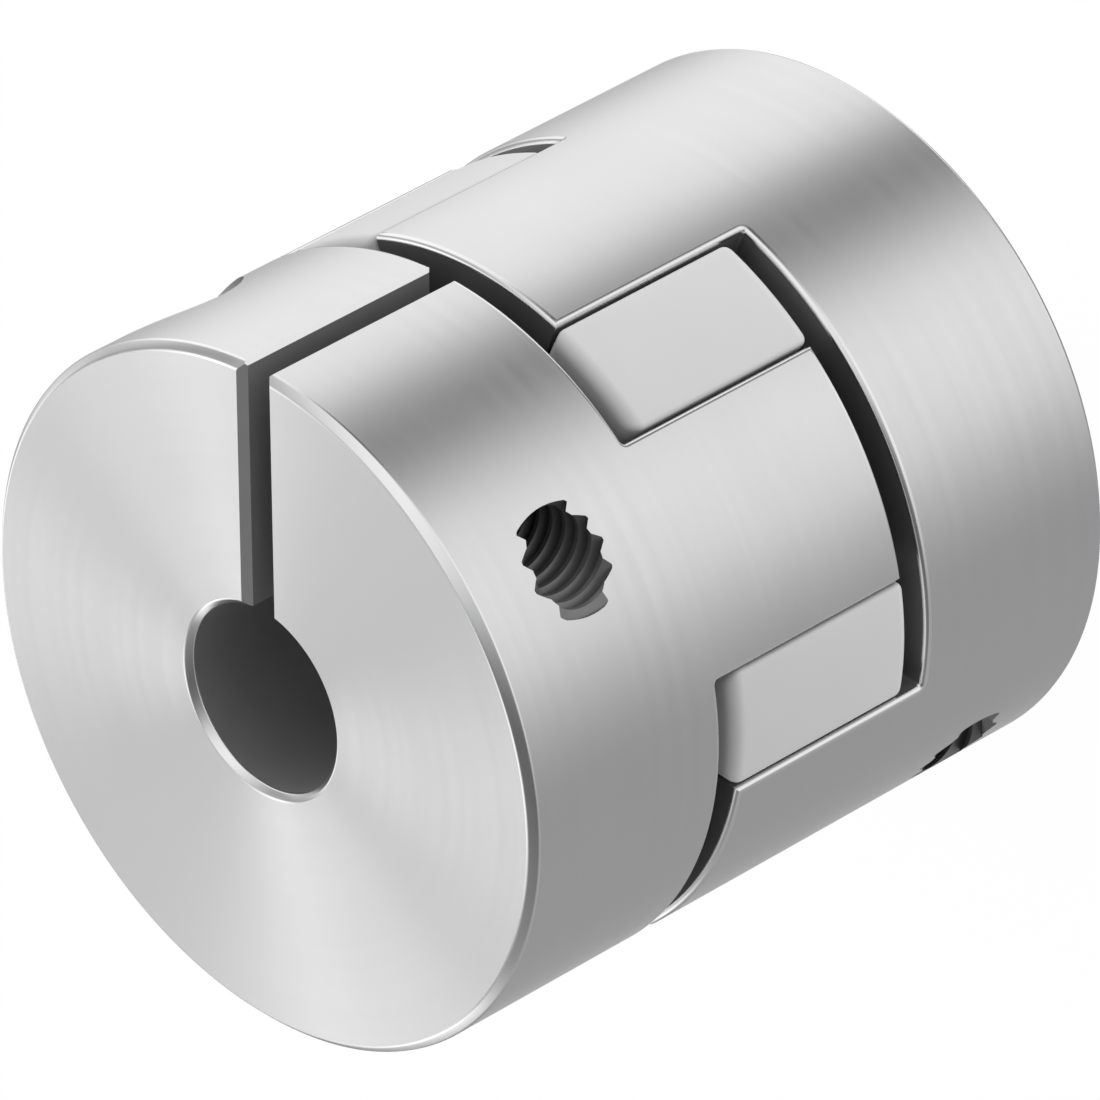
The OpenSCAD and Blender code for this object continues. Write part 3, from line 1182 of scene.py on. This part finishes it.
@dataclass
class Studio:
    """Pale floor, white background, soft light and the camera."""

    floor_size: float = 6.0
    floor_gap: float = 0.00003
    floor_glow: float = 1.03
    floor_grey: float = 0.95
    floor_share: float = 0.94
    lens: float = 433.4
    sensor_w: float = 36.0
    nearest: float = 0.01
    camera_at: Triple = (0.27620, -0.31522, 0.32863)
    right: Triple = (-0.00756, -0.70738, -0.70679)
    up: Triple = (0.84886, 0.36907, -0.37845)
    back: Triple = (0.52856, -0.60282, 0.59768)
    fan_level: Triple = (-0.7519, -0.6593, 0.0)
    fan_rise: Triple = (0.3940, -0.4494, 0.8017)
    fan_middle: Triple = (-0.52856, 0.60282, 0.59768)
    fan_edge: float = 0.45
    fan_full: float = 0.80
    upper_edge: float = 0.1
    upper_full: float = 0.4
    key: Triple = (0.195, 0.362, -0.911)
    key_share: float = 0.91
    plain_level: float = 1.10

    def build(self) -> None:
        """Makes everything that isn't the object."""
        self._floor()
        self._world()
        self._camera()

    def _floor(self) -> None:
        """Pale floor that stays white in the picture and keeps a soft shadow."""
        bm = bmesh.new()
        below = Matrix.Translation((0, 0, -self.floor_gap))
        bmesh.ops.create_grid(bm, x_segments=1, y_segments=1, size=self.floor_size / 2, matrix=below)
        mesh = bpy.data.meshes.new("floor")
        bm.to_mesh(mesh)
        bm.free()
        floor = bpy.data.objects.new("floor", mesh)
        floor.visible_glossy = False
        floor.visible_diffuse = False
        bpy.context.scene.collection.objects.link(floor)
        material = bpy.data.materials.new("pale_floor")
        material.use_nodes = True
        nodes = Nodes(material.node_tree)
        matte = nodes.add("BsdfDiffuse", None, Color=(*(self.floor_grey,) * 3, 1))
        white = nodes.add("Emission", None, Color=(1, 1, 1, 1), Strength=self.floor_glow)
        seen = nodes.maths("MULTIPLY", nodes.direct(), self.floor_share)
        mixed = nodes.add("MixShader", None, i0=seen, i1=matte.outputs[0], i2=white.outputs[0])
        nodes.add("OutputMaterial", None, Surface=mixed.outputs[0])
        mesh.materials.append(material)

    def _world(self) -> None:
        """Soft studio round the object: light and dark screens by direction, white for the camera."""
        world = bpy.data.worlds.new("studio")
        bpy.context.scene.world = world
        world.use_nodes = True
        nodes = Nodes(world.node_tree)
        direction = nodes.add("TexCoord").outputs["Generated"]
        way = nodes.add("SeparateXYZ", None, i0=direction)
        azimuth = nodes.maths("ARCTAN2", way.outputs[1], way.outputs[0])
        share = nodes.multiply_add(azimuth, 1 / math.tau, 0.5)
        screens = nodes.ramp(share, SCREENS)
        # The fan of panels overhead lies round the direction that the front face mirrors
        level = nodes.vectors("DOT_PRODUCT", direction, self.fan_level)
        rise = nodes.vectors("DOT_PRODUCT", direction, self.fan_rise)
        spread = nodes.maths("MULTIPLY", nodes.maths("ARCTAN2", rise, level), 1 / math.pi)
        panels = nodes.ramp(nodes.maths("FLOORED_MODULO", spread, 1.0), PANELS)
        high = nodes.eased(way.outputs[2], self.upper_edge, self.upper_full)
        screens = nodes.mixed(high, screens, nodes.ramp(share, UPPER_SCREENS))
        toward_fan = nodes.vectors("DOT_PRODUCT", direction, self.fan_middle)
        shown = nodes.mixed(nodes.eased(toward_fan, self.fan_edge, self.fan_full), screens, panels)
        studio = nodes.add("Background", None, Color=shown, Strength=BRIGHTEST)
        white = nodes.add("Background", None, Color=(1, 1, 1, 1), Strength=1.0)
        toward_key = nodes.vectors("DOT_PRODUCT", direction, self.key)
        slope = nodes.multiply_add(toward_key, self.key_share, self.plain_level)
        plain = nodes.add("Background", None, Color=(1, 1, 1, 1), Strength=slope)
        camera = nodes.add("LightPath").outputs["Is Camera Ray"]
        backdrop = nodes.add("MixShader", None, i0=camera, i1=studio.outputs[0], i2=white.outputs[0])
        both = nodes.add("MixShader", None, i0=nodes.direct(), i1=plain.outputs[0], i2=backdrop.outputs[0])
        nodes.add("OutputWorld", None, Surface=both.outputs[0])

    def _camera(self) -> None:
        """Camera at the photograph's viewing angle."""
        data = bpy.data.cameras.new("camera")
        data.lens = self.lens
        data.sensor_width = self.sensor_w
        data.clip_start = self.nearest
        camera = bpy.data.objects.new("camera", data)
        axes = Matrix((self.right, self.up, self.back)).transposed().to_4x4()
        camera.matrix_world = Matrix.Translation(self.camera_at) @ axes
        bpy.context.scene.collection.objects.link(camera)
        bpy.context.scene.camera = camera


def azimuth_stop(degrees: float, grey: float) -> tuple[float, float]:
    """Ramp stop for an azimuth from -180 to 180 degrees, counted from +X."""
    return (degrees + 180) / 360, grey


# Brightest light in the studio, which the ramps below are shares of
BRIGHTEST = 1.7
# Screens round the object and below the level of its end face, by azimuth
SCREENS = [
    azimuth_stop(azimuth, level / BRIGHTEST)
    for azimuth, level in (
        (-180, 0.37), (-130, 0.40), (-110, 0.40), (-92, 0.64), (-74, 0.95), (-50, 1.0), (-30, 0.91),
        (-14, 0.47), (-1, 0.06), (12, 0.17), (26, 0.98), (45, 1.08), (70, 1.15), (92, 0.52), (110, 0.38),
        (135, 0.25), (160, 0.27), (180, 0.36),
    )
]
# Screens above that, which the edges mirror, by azimuth
UPPER_SCREENS = [
    azimuth_stop(azimuth, level / BRIGHTEST)
    for azimuth, level in (
        (-180, 0.32), (-151, 0.22), (-131, 0.17), (-111, 0.12), (-91, 0.14), (-71, 0.33), (-51, 0.67),
        (-31, 0.90), (-11, 1.0), (9, 0.95), (29, 0.75), (49, 0.42), (69, 0.18), (89, 0.25), (109, 0.35),
        (129, 0.38), (149, 0.45), (180, 0.32),
    )
]
# Panels of the fan overhead, by their share of a half turn round its middle
PANELS = [
    (share, level / BRIGHTEST)
    for share, level in (
        (0.0, 0.33), (0.125, 0.36), (0.25, 0.98), (0.375, 1.36), (0.5, 0.48), (0.625, 0.60), (0.75, 1.08),
        (0.875, 1.62), (1.0, 0.33),
    )
]


@dataclass
class Coupling:
    """The whole coupling."""

    hub: ClampingHub = field(default_factory=ClampingHub)
    spider: Spider = field(default_factory=Spider)

    def finish(self, thing: Object, node: str, materials: Sequence[Material]) -> None:
        """Scales a piece to metres, dresses it and lets it stand for its CAD node.

        Args:
            thing: The piece in millimetres.
            node: The CAD node that it stands for.
            materials: The piece's materials, in the order of its faces' indices.
        """
        thing.data.transform(Matrix.Scale(MM, 4))
        for material in materials:
            thing.data.materials.append(material)
        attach(thing, BODY)
        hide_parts(node)
        LOG.info("%s: %d vertices, %d faces", thing.name, len(thing.data.vertices), len(thing.data.polygons))

    def build(self) -> None:
        """Makes every piece."""
        # The last two finishes paint shade into the hollows: darker greys on the inner walls and between the
        # jaws
        metal = [kind().material() for kind in (TurnedAluminium, MilledAluminium, CutWallPaintedShade, DeepWallPaintedShade)]
        rear = self.hub.build("rear_hub_body")
        self.hub.true_normals(rear)
        front = rear.copy()
        front.data = rear.data.copy()
        front.name = front.data.name = "front_hub_body"
        bpy.context.scene.collection.objects.link(front)
        front.data.transform(self.hub.turned(Turn.END_FOR_END))
        self.finish(rear, "rear_hub", metal)
        self.finish(front, "front_hub", metal)
        spider = self.spider.build("spider_body")
        for face in spider.data.polygons:
            face.use_smooth = True
        self.finish(spider, "spider", [Elastomer().material()])
        steel = BlackOxide().material()
        for turn in Turn:
            name = f"{turn.value}_clamp_screw"
            screw = self.hub.screw.build(name + "_body", self.hub.turned(turn))
            screw.data.set_sharp_from_angle(angle=SMOOTH_ANGLE)
            self.finish(screw, name, [steel])


def main() -> None:
    """Builds the coupling and its studio."""
    logging.basicConfig(level=logging.INFO, format="%(name)s: %(message)s")
    bpy.context.scene.view_settings.view_transform = "Standard"
    Coupling().build()
    Studio().build()


if __name__ == "__main__":
    main()
